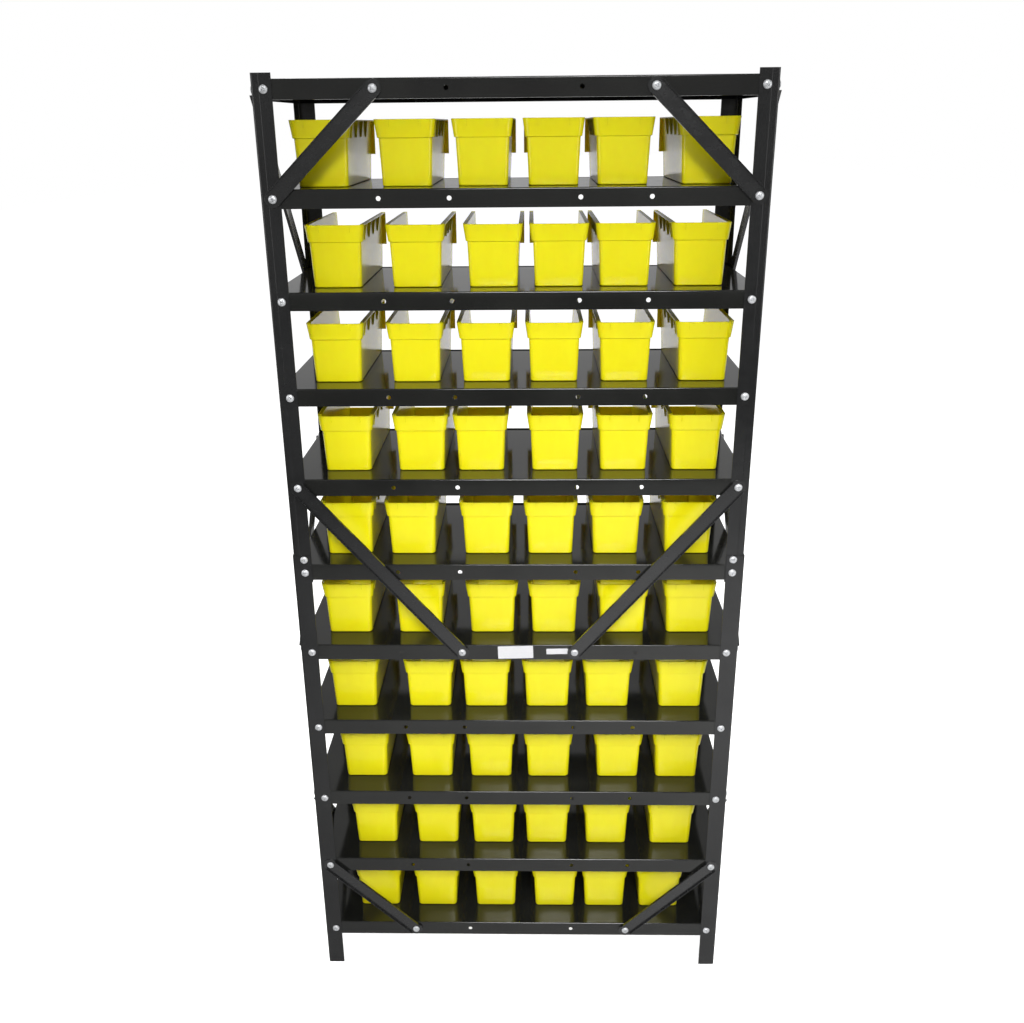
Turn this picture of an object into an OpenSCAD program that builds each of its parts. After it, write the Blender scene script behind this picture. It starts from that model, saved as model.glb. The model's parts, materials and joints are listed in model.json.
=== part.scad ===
// Bolt-together steel rack that holds ten rows of open plastic parts bins.
// Angle posts in two lengths carry folded sheet shelves; flat braces stiffen the back and the
// sides; every row has six bins that stand on their shelf and slide out to the front.
// X runs across the rack, -Y is the braced back, +Y the side where the bins come out, Z is up.
// The origin is on the floor under the middle of the rack.

/* [Rack] */
// Width across the outer faces of the lower posts
rack_w = 856; // [720:2:1030]
// Depth across the outer faces of the lower posts
rack_d = 348; // [290:2:420]
// Height from one shelf to the next
shelf_pitch = 171; // [150:1:210]
// Height of the lowest shelf's bolts above the floor
foot_h = 95; // [60:1:150]
// Height of the posts above the top shelf's bolts
top_margin = 25; // [20:1:60]

/* [Posts] */
// Width of each flange of the angle posts
post_flange = 34; // [30:1:42]
// Thickness of the post steel
post_t = 1.6; // [1.2:0.1:2.5]
// Outside radius of the bend between the flanges
post_bend = 4; // [3:0.5:5]
// Distance from a lower post's outer face to the line of its bolt holes
hole_line = 22; // [18:0.5:26]
// Height of the splice bolt above that shelf's bolts
splice_rise = 27; // [24:1:34]
// Length of the lower post above the splice bolt
splice_cover = 8; // [7:1:12]
// Length of the upper post below the splice shelf's bolts
splice_tail = 20; // [12:1:30]
// Distance of the pressed crease from the corner of an upper post
crease_at = 13; // [10:0.5:14]
// Width of the crease
crease_w = 1.8; // [1:0.1:2.5]
// Depth of the crease
crease_depth = 0.5; // [0.2:0.1:0.6]

/* [Shelves] */
// Thickness of the shelf sheet
sheet_t = 1.2; // [0.8:0.1:2]
// Height of the folded-down lips
lip_h = 32; // [24:1:40]
// Outside radius of the folds
fold_r = 2.4; // [2:0.1:3.5]
// Outside radius of the vertical corners
corner_r = 5; // [4.5:0.5:7]
// Depth of the return fold under the front and back lips
return_w = 10; // [6:1:16]
// Distance of the inner pair of lip holes from the middle
lip_hole_inner = 110; // [70:1:140]
// Distance of the outer pair of lip holes from the middle
lip_hole_outer = 229; // [180:1:280]
// Diameter of the lip holes
lip_hole_d = 8; // [7:0.5:10]

/* [Braces] */
// Width of a brace
brace_w = 28; // [24:1:34]
// Thickness of the brace steel
brace_t = 1.2; // [1:0.1:2]
// Height of the brace's folded edges, over its web
brace_edge = 4.2; // [2:0.1:6]

/* [Fasteners] */
// Diameter of the bolts
bolt_d = 6; // [5:0.5:7.5]
// Clearance of a bolt in its holes, on the diameter
hole_play = 1; // [0.4:0.1:1.5]
// Diameter of the bolt heads
head_d = 14.5; // [12:0.5:17]
// Height of the bolt heads
head_h = 4; // [3:0.5:5]
// Width of a nut across its flats
nut_af = 10; // [9:0.5:12]
// Height of a nut
nut_h = 5; // [4:0.5:6]
// Length of bolt that stands out of its nut
bolt_tail = 1.5; // [0.5:0.5:3]
// Clearance of a nut on its bolt, on the diameter
nut_play = 0.3; // [0.2:0.1:0.4]

/* [Bins] */
// Width of a bin over its rim
bin_w = 105; // [88:1:126]
// Length of a bin
bin_l = 292; // [244:1:350]
// Height of a bin
bin_h = 108; // [92:1:120]
// Wall thickness of a bin
bin_t = 2; // [1.6:0.1:2.6]
// Distance of a bin's closed end from the back of the rack
bin_setback = 48; // [30:1:60]
// Height of the low hopper front
hopper_h = 46; // [36:1:56]
// Height of the collar and of the side ribs, down from the rim
collar_h = 30; // [22:1:36]
// Gap between a bin and the shelf that it stands on
bin_gap = 0.3; // [0.2:0.1:0.5]

/* [Hidden] */
$fn = 48;

// Shelf levels, counted from the top shelf (0) down to the lowest (10). The upper posts are
// spliced into the lower ones at the middle one.
last_level = 10;
splice_level = 5;
rack_h = foot_h + last_level * shelf_pitch + top_margin;
hole_d = bolt_d + hole_play;
function bolt_z(level) = foot_h + (last_level - level) * shelf_pitch;

// The upper posts stand inside the lower ones, so what they carry lies one sheet further in.
function post_inset(level) = level < splice_level ? post_t : 0;
function shelf_inset(level) = post_t * (level <= splice_level ? 2 : 1);
hole_x = rack_w / 2 - hole_line;
hole_y = rack_d / 2 - hole_line;
splice_z = bolt_z(splice_level) + splice_rise;

// Back braces: [name, level at the post, level at the shelf lip, lip hole, inset of its plane]
back_braces = [
    ["top", 1, 0, lip_hole_outer, post_t],
    ["middle", 4, 6, lip_hole_inner, post_t],
    ["bottom", 9, 10, lip_hole_outer, 0]
];
// Side braces: [name, level at the back post, level at the front post, inset of its plane]
side_braces = [
    ["top", 0, 2, post_t],
    ["middle", 6, 4, 0],
    ["bottom", 8, 10, 0]
];

// Bins: the clear bay between the front posts is shared by six bins, and each bin stands off
// its place by so many tenths of the free gap, as people leave them.
bins_across = 6;
bay_w = 2 * (rack_w / 2 - post_t - post_flange);
bin_pitch = bay_w / bins_across;
free_gap = bin_pitch - bin_w;
stagger = [
    [-1, 4, 4, 0, -5, 0],
    [4, 8, 10, 4, -2, -2],
    [0, 5, 4, 1, 0, 4],
    [3, 6, -1, 2, 1, 2],
    [0, -3, 2, -1, -3, 0],
    [-4, 0, 5, 2, 4, 4],
    [-4, 5, -1, -3, -6, 1],
    [1, 4, 2, -2, 4, 1],
    [6, 7, 3, -3, -4, -1],
    [5, 4, 4, 4, -4, -8]
];
single_rows = [1, 2, 3];
joined_rows = [4, 5, 6, 7, 8, 9, 10];

// Bin form, in the bin's own frame: X across, Y from the closed end, Z from its base
collar_step = 2.6; // the collar stands this far proud of the wall below it
base_inset_x = 10.2; // the base is this much narrower than the rim, each side
base_inset_y = 8; // the closed end leans back this much from base to rim
front_lean = 6; // and the hopper front leans out this much over the full height
collar_flare_x = 4.4; // the collar widens this much from its lower edge to the rim, each side
collar_flare_y = 3; // and this much at the closed end
collar_wrap = 16; // the collar runs this far round the corners
back_corner_r = 8; // outside radius of the vertical corners at the closed end
front_corner_r = 5; // and at the hopper front
corner_ease = 0.05; // each round is set this far out past its two walls, which trim it
rim_t = 2.4; // thickness of the rim ledge
rib_t = 2; // thickness of the side ribs and of the front flanges
rib_inset = 0.8; // the ribs stop this far inside the rim's edge
rib_at = [45, 100, 155, 210]; // the side ribs, from the closed end
rib_ref_l = 292; // length for which those places are given
lip_out = 3; // the hopper front's lip stands out this far
lip_t = 2.2; // and is this thick
nib_at = 27; // the two nibs on the collar, from the middle
nib_w = 3;
nib_h = 12;
nib_out = 1.2;
far = 20; // overshoot of cuts

sides = [["left", -1], ["right", 1]];
ends = [["rear", -1], ["front", 1]];

// ---------------------------------------------------------------- outlines

// Points of an arc round c, from angle a to angle b
function arc(c, r, a, b, steps = 4) =
    [for (i = [0 : steps]) c + r * [cos(a + (b - a) * i / steps), sin(a + (b - a) * i / steps)]];

// Crease across a flange's outer face, from the free edge towards the corner
function crease_across() =
    [[crease_at + crease_w / 2, 0], [crease_at, crease_depth], [crease_at - crease_w / 2, 0]];
function crease_along() =
    [[0, crease_at - crease_w / 2], [crease_depth, crease_at], [0, crease_at + crease_w / 2]];

// Section of an angle post, outer corner at the origin, flanges along +X and +Y
function angle_section(creased) = concat(
    [[post_flange, 0]],
    creased ? crease_across() : [],
    arc([post_bend, post_bend], post_bend, 270, 180),
    creased ? crease_along() : [],
    [[0, post_flange], [post_t, post_flange]],
    arc([post_bend, post_bend], post_bend - post_t, 180, 270),
    [[post_flange, post_t]]
);

// Section of a folded tray: straight sides, rounded folds at the top
function fold_section(half, low, high, r) = concat(
    [[-half, low], [half, low]],
    arc([half - r, high - r], r, 0, 90, 3),
    arc([-half + r, high - r], r, 90, 180, 3)
);

// Plan of a tray with rounded corners
function plan(hx, hy, r) = concat(
    arc([hx - r, hy - r], r, 0, 90), arc([-hx + r, hy - r], r, 90, 180),
    arc([-hx + r, -hy + r], r, 180, 270), arc([hx - r, -hy + r], r, 270, 360)
);

// Outline of a brace's web, round both ends
function brace_outline(span) = concat(
    arc([span, 0], brace_w / 2, -90, 90, 10), arc([0, 0], brace_w / 2, 90, 270, 10)
);

// ---------------------------------------------------------------- helpers

// A section drawn in X and Z, run along Y from y0 to y1
module run_y(points, y0, y1)
    translate([0, y1, 0]) rotate([90, 0, 0]) linear_extrude(y1 - y0) polygon(points);

// A section drawn in Y and Z, run along X, centred
module run_x(points, length)
    translate([-length / 2, 0, 0]) rotate([90, 0, 90]) linear_extrude(length) polygon(points);

// To one of the four corners; the children are drawn for the left rear corner
module at_corner(side, end, inset)
    mirror([side > 0 ? 1 : 0, 0, 0]) mirror([0, end > 0 ? 1 : 0, 0])
        translate([inset - rack_w / 2, inset - rack_d / 2, 0]) children();

// ---------------------------------------------------------------- posts

module angle_post(side, end, inset, z0, z1, levels, creased) {
    color([0.17, 0.17, 0.19])
    at_corner(side, end, inset)
    difference() {
        translate([0, 0, z0]) linear_extrude(z1 - z0) polygon(angle_section(creased));
        for (level = levels) {
            translate([hole_line - inset, -1, bolt_z(level)])
                rotate([-90, 0, 0]) cylinder(d = hole_d, h = post_t + 2);
            translate([-1, hole_line - inset, bolt_z(level)])
                rotate([0, 90, 0]) cylinder(d = hole_d, h = post_t + 2);
        }
        translate([hole_line - inset, -1, splice_z])
            rotate([-90, 0, 0]) cylinder(d = hole_d, h = post_t + 2);
    }
}

module lower_post(side, end)
    angle_post(side, end, 0, 0, splice_z + splice_cover, [splice_level : last_level], false);

module upper_post(side, end)
    angle_post(side, end, post_t, bolt_z(splice_level) - splice_tail, rack_h,
        [0 : splice_level], true);

// ---------------------------------------------------------------- shelves

module tray_block(hx, hy, low, high, r_fold, r_corner)
    intersection() {
        run_y(fold_section(hx, low, high, r_fold), -hy - 1, hy + 1);
        run_x(fold_section(hy, low, high, r_fold), 2 * hx + 2);
        translate([0, 0, low - 1]) linear_extrude(high - low + 2) polygon(plan(hx, hy, r_corner));
    }

// Folded sheet: a deck with four lips down, the front and back lips turned in again
module shelf(level) {
    hx = rack_w / 2 - shelf_inset(level);
    hy = rack_d / 2 - shelf_inset(level);
    bottom = -lip_h / 2;
    color([0.2, 0.2, 0.22])
    translate([0, 0, bolt_z(level)])
    difference() {
        tray_block(hx, hy, bottom, lip_h / 2, fold_r, corner_r);
        tray_block(hx - sheet_t, hy - sheet_t, bottom + sheet_t, lip_h / 2 - sheet_t,
            fold_r - sheet_t, corner_r - sheet_t);
        translate([sheet_t - hx, return_w - hy, bottom - 1])
            cube([2 * (hx - sheet_t), 2 * (hy - return_w), sheet_t + 2]);
        for (x = [-lip_hole_outer, -lip_hole_inner, lip_hole_inner, lip_hole_outer])
            for (y = [-hy, hy])
                translate([x, y, 0]) rotate([90, 0, 0])
                    cylinder(d = lip_hole_d, h = 4 * sheet_t, center = true);
        for (x = [-hole_x, hole_x])
            for (y = [-hy, hy])
                translate([x, y, 0]) rotate([90, 0, 0])
                    cylinder(d = hole_d, h = 4 * sheet_t, center = true);
        for (x = [-hx, hx])
            for (y = [-hole_y, hole_y])
                translate([x, y, 0]) rotate([0, 90, 0])
                    cylinder(d = hole_d, h = 4 * sheet_t, center = true);
    }
}

// ---------------------------------------------------------------- braces

// Brace from the origin along +X: its web lies in XY, its folded edges stand up in +Z
module brace(span) {
    difference() {
        union() {
            linear_extrude(brace_t) polygon(brace_outline(span));
            for (y = [-brace_w / 2, brace_w / 2 - brace_t])
                translate([0, y, 0]) cube([span, brace_t, brace_t + brace_edge]);
        }
        for (x = [0, span])
            translate([x, 0, -1]) cylinder(d = hole_d, h = brace_t + 2);
    }
}

module back_brace(b, side) {
    dx = hole_x - b[3];
    dz = bolt_z(b[2]) - bolt_z(b[1]);
    color([0.15, 0.15, 0.17])
    mirror([side > 0 ? 1 : 0, 0, 0])
    translate([-hole_x, b[4] - rack_d / 2, bolt_z(b[1])])
        rotate([90, 0, 0]) rotate([0, 0, atan2(dz, dx)]) brace(norm([dx, dz]));
}

module side_brace(b, side) {
    dy = 2 * hole_y;
    dz = bolt_z(b[2]) - bolt_z(b[1]);
    color([0.15, 0.15, 0.17])
    mirror([side < 0 ? 1 : 0, 0, 0])
    translate([rack_w / 2 - b[3], -hole_y, bolt_z(b[1])])
        rotate([90, 0, 90]) rotate([0, 0, atan2(dz, dy)]) brace(norm([dy, dz]));
}

// ---------------------------------------------------------------- fasteners

// Every bolt as [place of the head's seat, turn about Z that faces it outward, grip]:
// the grip is the thickness between the head's seat and the nut
function turn_y(end) = end < 0 ? 0 : 180;
function turn_x(side) = side < 0 ? -90 : 90;
function lip_inside(half, level) = half - shelf_inset(level) - sheet_t;

// A brace that ends on this corner bolt goes under its head
function brace_on_post(level, end) =
    end < 0 && len([for (b = back_braces) if (b[1] == level) b]) > 0 ? brace_t : 0;

shelf_bolts = [for (level = [0 : last_level]) for (end = [-1, 1]) for (side = [-1, 1])
    let (seat = rack_d / 2 - post_inset(level) + brace_on_post(level, end))
        [[side * hole_x, end * seat, bolt_z(level)], turn_y(end),
            seat - lip_inside(rack_d / 2, level)]];
splice_bolts = [for (end = [-1, 1]) for (side = [-1, 1])
    [[side * hole_x, end * rack_d / 2, splice_z], turn_y(end), 2 * post_t]];
lip_bolts = [for (b = back_braces) for (side = [-1, 1])
    let (seat = rack_d / 2 - b[4] + brace_t)
        [[side * b[3], -seat, bolt_z(b[2])], turn_y(-1), seat - lip_inside(rack_d / 2, b[2])]];
side_bolts = [for (b = side_braces) for (end = [-1, 1]) for (side = [-1, 1])
    let (seat = rack_w / 2 - b[3] + brace_t, level = end < 0 ? b[1] : b[2])
        [[side * seat, end * hole_y, bolt_z(level)], turn_x(side),
            seat - lip_inside(rack_w / 2, level)]];
all_bolts = concat(shelf_bolts, splice_bolts, lip_bolts, side_bolts);

// Round-headed bolt, head towards -Y, its seat at the origin
module bolt(grip) {
    shank = grip + nut_h + bolt_tail;
    dome_r = (head_d * head_d / 4 + head_h * head_h) / (2 * head_h);
    dome_half = asin(head_d / 2 / dome_r);
    rotate([90, 0, 0])
        rotate_extrude()
            polygon(concat(
                arc([0, head_h - dome_r], dome_r, 90 - dome_half, 90, 5),
                [[0, -shank], [bolt_d / 2 - 0.5, -shank], [bolt_d / 2, -shank + 0.5],
                    [bolt_d / 2, 0]]
            ));
}

module nut()
    rotate([-90, 0, 0]) difference() {
        cylinder(d = nut_af / cos(30), h = nut_h, $fn = 6);
        translate([0, 0, -1]) cylinder(d = bolt_d + nut_play, h = nut_h + 2);
    }

module frame_bolts()
    color([0.76, 0.77, 0.79])
    for (b = all_bolts) translate(b[0]) rotate([0, 0, b[1]]) bolt(b[2]);

module frame_nuts()
    color([0.72, 0.73, 0.75])
    for (b = all_bolts) translate(b[0]) rotate([0, 0, b[1]]) translate([0, b[2], 0]) nut();

// ---------------------------------------------------------------- bins

// Half widths and the closed end's place at a height, for the plain tapered body
body_top_inset_x = collar_flare_x + collar_step;
collar_z = bin_h - collar_h;
body_slope_x = (base_inset_x - body_top_inset_x) / collar_z;
body_slope_y = (base_inset_y - collar_flare_y - collar_step) / collar_z;
front_slope = front_lean / bin_h;
function body_half(z) = bin_w / 2 - base_inset_x + body_slope_x * z;
function body_back(z) = base_inset_y - body_slope_y * z;
function body_front(z) = bin_l - front_lean + front_slope * z;
function collar_half(z) = bin_w / 2 - collar_flare_x * (bin_h - z) / collar_h;
function collar_back(z) = collar_flare_y * (bin_h - z) / collar_h;

// Cuts the two corners at one end of a leaning block round. Their edges lean with the walls,
// from (half0, end0) at z0 to (half1, end1) at z1, and so do the axes of the rounds. The block
// lies on the inward side of that end, +1 or -1 along Y.
module corner_cuts(half0, end0, half1, end1, z0, z1, r, inward = 1) {
    lean = [half1 - half0, inward * (end1 - end0), z1 - z0];
    away = r - corner_ease;
    turn = atan2(lean[1], lean[0]);
    for (side = [-1, 1])
        mirror([side < 0 ? 1 : 0, 0, 0])
            translate([half0 - away, end0 + inward * away, z0])
                mirror([0, inward < 0 ? 1 : 0, 0]) rotate([0, 0, turn])
                    rotate([0, acos(lean[2] / norm(lean)), 0]) rotate([0, 0, -turn])
                        difference() {
                            translate([0, -far, -far]) cube([far, far, norm(lean) + 2 * far]);
                            translate([0, 0, -far - 1])
                                cylinder(r = r, h = norm(lean) + 2 * far + 2);
                        }
}

// Tapered body between two heights, inset by a wall
module body_block(z0, z1, wall, front_open)
    difference() {
        intersection() {
            run_y([
                [wall - body_half(z0), z0], [body_half(z0) - wall, z0],
                [body_half(z1) - wall, z1], [wall - body_half(z1), z1]
            ], 0, bin_l + far);
            run_x(concat(
                [[body_back(z0) + wall, z0], [body_front(z0) - wall, z0]],
                front_open
                    ? [[body_front(hopper_h) - wall, hopper_h], [bin_l + far, hopper_h],
                        [bin_l + far, z1]]
                    : [[body_front(z1) - wall, z1]],
                [[body_back(z1) + wall, z1]]
            ), 2 * bin_w);
        }
        corner_cuts(body_half(z0) - wall, body_back(z0) + wall,
            body_half(z1) - wall, body_back(z1) + wall, z0, z1, back_corner_r - wall);
        // The front corners are round up to the hopper's lip
        intersection() {
            corner_cuts(body_half(z0) - wall, body_front(z0) - wall,
                body_half(z1) - wall, body_front(z1) - wall, z0, z1, front_corner_r - wall, -1);
            translate([-bin_w, 0, z0 - 1])
                cube([2 * bin_w, bin_l + far, hopper_h - (front_open ? 0 : lip_t) - z0 + 1]);
        }
    }

// Collar round the closed end, between two heights, inset by a wall
module collar_block(z0, z1, wall)
    difference() {
        intersection() {
            run_y([
                [wall - collar_half(z0), z0], [collar_half(z0) - wall, z0],
                [collar_half(z1) - wall, z1], [wall - collar_half(z1), z1]
            ], 0, collar_wrap - wall);
            run_x([
                [collar_back(z0) + wall, z0], [collar_wrap, z0],
                [collar_wrap, z1], [collar_back(z1) + wall, z1]
            ], 2 * bin_w);
        }
        corner_cuts(collar_half(z0) - wall, collar_back(z0) + wall,
            collar_half(z1) - wall, collar_back(z1) + wall, z0, z1, back_corner_r - wall);
    }

// Plates across the bin: the cavity later leaves only what stands outside the side walls
module side_plates() {
    for (at = rib_at)
        run_y([
            [-collar_half(collar_z) + rib_inset, collar_z],
            [collar_half(collar_z) - rib_inset, collar_z],
            [bin_w / 2 - rib_inset, bin_h - rim_t / 2], [rib_inset - bin_w / 2, bin_h - rim_t / 2]
        ], at * bin_l / rib_ref_l, at * bin_l / rib_ref_l + rib_t);
    run_x([
        [body_front(hopper_h) - rib_t, hopper_h - lip_t], [body_front(hopper_h), hopper_h - lip_t],
        [bin_l, bin_h - rim_t / 2], [bin_l - rib_t, bin_h - rim_t / 2]
    ], bin_w - 2 * rib_inset);
}

module rim_ledge()
    difference() {
        translate([-bin_w / 2, 0, bin_h - rim_t]) cube([bin_w, bin_l, rim_t]);
        corner_cuts(bin_w / 2, 0, bin_w / 2, 0, bin_h - rim_t, bin_h, back_corner_r);
    }

module hopper_lip()
    translate([-body_half(hopper_h), body_front(hopper_h) - bin_t, hopper_h - lip_t])
        cube([2 * body_half(hopper_h), bin_t + lip_out, lip_t]);

module nibs()
    for (x = [-nib_at, nib_at])
        translate([x - nib_w / 2, -nib_out, bin_h - nib_h])
            cube([nib_w, nib_out + collar_back(bin_h - nib_h) + bin_t / 2, nib_h]);

module bin() {
    difference() {
        union() {
            body_block(0, bin_h, 0, false);
            collar_block(collar_z, bin_h, 0);
            side_plates();
            rim_ledge();
            hopper_lip();
            nibs();
        }
        body_block(bin_t, bin_h + far, bin_t, true);
        collar_block(collar_z + bin_t, bin_h + far, bin_t);
    }
}

module bin_at(row, n) {
    centre = (n - (bins_across + 1) / 2) * bin_pitch + stagger[row - 1][n - 1] * free_gap / 10;
    color([0.93, 0.85, 0.1])
    translate([centre, bin_setback - rack_d / 2, bolt_z(row) + lip_h / 2 + bin_gap]) bin();
}

module bin_row(row)
    for (n = [1 : bins_across]) bin_at(row, n);

// ---------------------------------------------------------------- nodes

for (e = ends) for (s = sides)
    lower_post(s[1], e[1]);
for (e = ends) for (s = sides)
    upper_post(s[1], e[1]);
shelf(0);  // top_shelf
for (level = [1 : last_level])
    shelf(level);
for (b = back_braces) for (s = sides)
    back_brace(b, s[1]);
for (b = side_braces) for (s = sides)
    side_brace(b, s[1]);
frame_bolts();
frame_nuts();
for (row = single_rows) for (n = [1 : bins_across])
    bin_at(row, n);
for (row = joined_rows)
    bin_row(row);
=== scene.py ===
import json
import math
import bpy
import bmesh
from mathutils import Matrix, Vector


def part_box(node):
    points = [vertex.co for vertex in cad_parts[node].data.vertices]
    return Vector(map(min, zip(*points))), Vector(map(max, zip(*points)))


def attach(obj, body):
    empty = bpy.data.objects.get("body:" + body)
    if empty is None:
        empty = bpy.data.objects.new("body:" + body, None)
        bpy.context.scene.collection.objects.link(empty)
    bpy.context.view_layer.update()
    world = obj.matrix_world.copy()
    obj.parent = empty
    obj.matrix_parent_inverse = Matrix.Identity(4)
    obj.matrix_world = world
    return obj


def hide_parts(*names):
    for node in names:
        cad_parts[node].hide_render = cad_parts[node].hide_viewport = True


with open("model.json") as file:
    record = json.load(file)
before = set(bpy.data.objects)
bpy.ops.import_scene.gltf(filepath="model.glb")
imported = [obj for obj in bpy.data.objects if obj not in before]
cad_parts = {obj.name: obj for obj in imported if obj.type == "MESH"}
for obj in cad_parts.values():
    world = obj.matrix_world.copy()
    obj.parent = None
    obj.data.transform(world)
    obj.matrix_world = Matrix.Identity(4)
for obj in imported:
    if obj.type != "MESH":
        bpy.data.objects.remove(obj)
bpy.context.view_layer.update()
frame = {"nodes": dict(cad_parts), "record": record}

# %% [markdown]
# # A bolt-together bin rack, seen from its braced back
# The rack is folded steel sheet and angle posts in dark enamel, held by zinc bolts, with sixty
# yellow plastic bins. The frame that was just loaded holds every piece at its true place and
# size. This lesson gives each piece the finish and the fine form that a photograph shows:
# rounded sheet edges, moulded bins, domed bolt heads and glossy enamel.
# Everything is in metres, so small sizes are written as a number of millimetres times MM.

# %% Units and a few measures of the rack
MM = 0.001
FULL_TURN = 2 * math.pi
RACK = "rack"


def corners(node):
    """Lowest and highest corner of one frame node."""
    low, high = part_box(node)
    return Vector(low), Vector(high)


# %% [markdown]
# ## The camera
# The photograph was taken with a fairly wide lens from just below the top shelf, looking down.
# A camera looks along its own -Z with +Y up, so the cell builds the three axes from the angles
# and puts them side by side in a matrix. That is safer than stacking Euler angles, because the
# order of turns can't go wrong.

# %% Camera
IMAGE_PIXELS = 1024
FOCAL_PIXELS = 1027.5
SENSOR_WIDTH = 36.0
CAMERA_PLACE = Vector((29.8, -1960.7, 1749.4)) * MM
LOOK_DOWN = math.radians(20.68)
LOOK_SIDE = math.radians(-1.27)
ROLL = math.radians(-0.55)

ahead = Vector((
    math.sin(LOOK_SIDE) * math.cos(LOOK_DOWN),
    math.cos(LOOK_SIDE) * math.cos(LOOK_DOWN),
    -math.sin(LOOK_DOWN),
))
level_right = Vector((math.cos(LOOK_SIDE), -math.sin(LOOK_SIDE), 0))
level_up = level_right.cross(ahead)
right = level_right * math.cos(ROLL) + level_up * math.sin(ROLL)
up = level_up * math.cos(ROLL) - level_right * math.sin(ROLL)

camera_data = bpy.data.cameras.new("camera")
camera_data.sensor_width = SENSOR_WIDTH
camera_data.lens = FOCAL_PIXELS * SENSOR_WIDTH / IMAGE_PIXELS
camera_data.clip_start = 0.05
camera = bpy.data.objects.new("camera", camera_data)
bpy.context.scene.collection.objects.link(camera)
turn = Matrix((right, up, -ahead)).transposed()
camera.matrix_world = Matrix.Translation(CAMERA_PLACE) @ turn.to_4x4()
bpy.context.scene.camera = camera
print("lens, mm:", round(camera_data.lens, 2))

# %% [markdown]
# ## Shader helpers
# Each finish below is a small node graph round one Principled BSDF. The helpers keep those
# graphs short: `node` adds a node and sets its plain values, `join` makes a link, `maths` works
# out one number from two, `choose` picks one of two shaders, and `noise` gives a noise texture
# in Object coordinates, so that a pattern stays on its piece.

# %% Shader helpers
def new_finish(name):
    """An empty material with its Principled BSDF wired to the output."""
    finish = bpy.data.materials.new(name)
    finish.use_nodes = True
    tree = finish.node_tree
    tree.nodes.clear()
    surface = tree.nodes.new("ShaderNodeBsdfPrincipled")
    output = tree.nodes.new("ShaderNodeOutputMaterial")
    tree.links.new(surface.outputs["BSDF"], output.inputs["Surface"])
    return finish, tree, surface


def node(tree, kind, **values):
    """Adds a node; keyword names that match a socket set it, others set a property."""
    made = tree.nodes.new(kind)
    for key, value in values.items():
        socket = made.inputs.get(key.replace("_", " "))
        if socket is not None:
            socket.default_value = value
        else:
            setattr(made, key, value)
    return made


def join(tree, source, target):
    tree.links.new(source, target)


def maths(tree, operation, first, second):
    """A Math node on two values; either may be a socket or a number."""
    made = node(tree, "ShaderNodeMath", operation=operation)
    for socket, value in zip(made.inputs, (first, second)):
        if isinstance(value, bpy.types.NodeSocket):
            join(tree, value, socket)
        else:
            socket.default_value = value
    return made.outputs[0]


def choose(tree, amount, first, second):
    """The first shader where the amount is 0 and the second where it is 1."""
    made = tree.nodes.new("ShaderNodeMixShader")
    for socket, value in zip(made.inputs, (amount, first, second)):
        join(tree, value, socket)
    return made.outputs[0]


def along(tree, vector, axis):
    """One of the three numbers of a vector."""
    made = tree.nodes.new("ShaderNodeSeparateXYZ")
    join(tree, vector, made.inputs[0])
    return made.outputs[axis]


def object_place(tree, scale=(1, 1, 1)):
    """Object coordinates in metres, stretched by scale."""
    place = tree.nodes.new("ShaderNodeTexCoord")
    mapping = tree.nodes.new("ShaderNodeMapping")
    mapping.inputs["Scale"].default_value = scale
    join(tree, place.outputs["Object"], mapping.inputs["Vector"])
    return mapping.outputs["Vector"]


def noise(tree, place, scale, detail=3.0, roughness=0.5):
    made = node(tree, "ShaderNodeTexNoise", Scale=scale, Detail=detail, Roughness=roughness)
    join(tree, place, made.inputs["Vector"])
    return made.outputs["Fac"]


def remap(tree, value, low, high, to_low, to_high):
    made = tree.nodes.new("ShaderNodeMapRange")
    for name, number in (("From Min", low), ("From Max", high),
                         ("To Min", to_low), ("To Max", to_high)):
        made.inputs[name].default_value = number
    join(tree, value, made.inputs["Value"])
    return made.outputs["Result"]


def blend_colours(tree, amount, first, second):
    """Mixes two colours; either may be a socket or a colour."""
    mix = tree.nodes.new("ShaderNodeMix")
    mix.data_type = "RGBA"
    join(tree, amount, mix.inputs["Factor"])
    sockets = [s for s in mix.inputs if s.type == "RGBA"]
    for socket, value in zip(sockets, (first, second)):
        if isinstance(value, bpy.types.NodeSocket):
            join(tree, value, socket)
        else:
            socket.default_value = (*value, 1)
    return [s for s in mix.outputs if s.type == "RGBA"][0]


def raised(tree, surface, layers):
    """Bumps the surface by layers of (height socket, depth in metres)."""
    normal = None
    for height, depth in layers:
        bump = node(tree, "ShaderNodeBump", Strength=1.0, Distance=depth)
        join(tree, height, bump.inputs["Height"])
        if normal is not None:
            join(tree, normal, bump.inputs["Normal"])
        normal = bump.outputs["Normal"]
    join(tree, normal, surface.inputs["Normal"])


# %% [markdown]
# ## Dark enamel
# The posts, shelves and braces have a baked enamel: nearly black, a little blue in the light,
# with the faint waviness that painters call orange peel, a few dull rubbed patches and specks of
# dust. The shelves are the glossiest, because their decks are large flat sheets. A narrow strip
# along each deck's front edge reflects nothing and shows as a black band: painted shade, standing
# in for the shaded back of a raised hem that the model leaves out.
# One function makes all three, so that they stay one family.

# %% Enamel
def strip_at_front(tree, begins):
    """1 on level faces beyond a depth, else 0. Shelves are in one place front to back."""
    place = tree.nodes.new("ShaderNodeTexCoord")
    beyond = maths(tree, "GREATER_THAN", along(tree, place.outputs["Object"], "Y"), begins)
    level = maths(tree, "GREATER_THAN", along(tree, place.outputs["Normal"], "Z"), 0.5)
    return maths(tree, "MULTIPLY", beyond, level)


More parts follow.
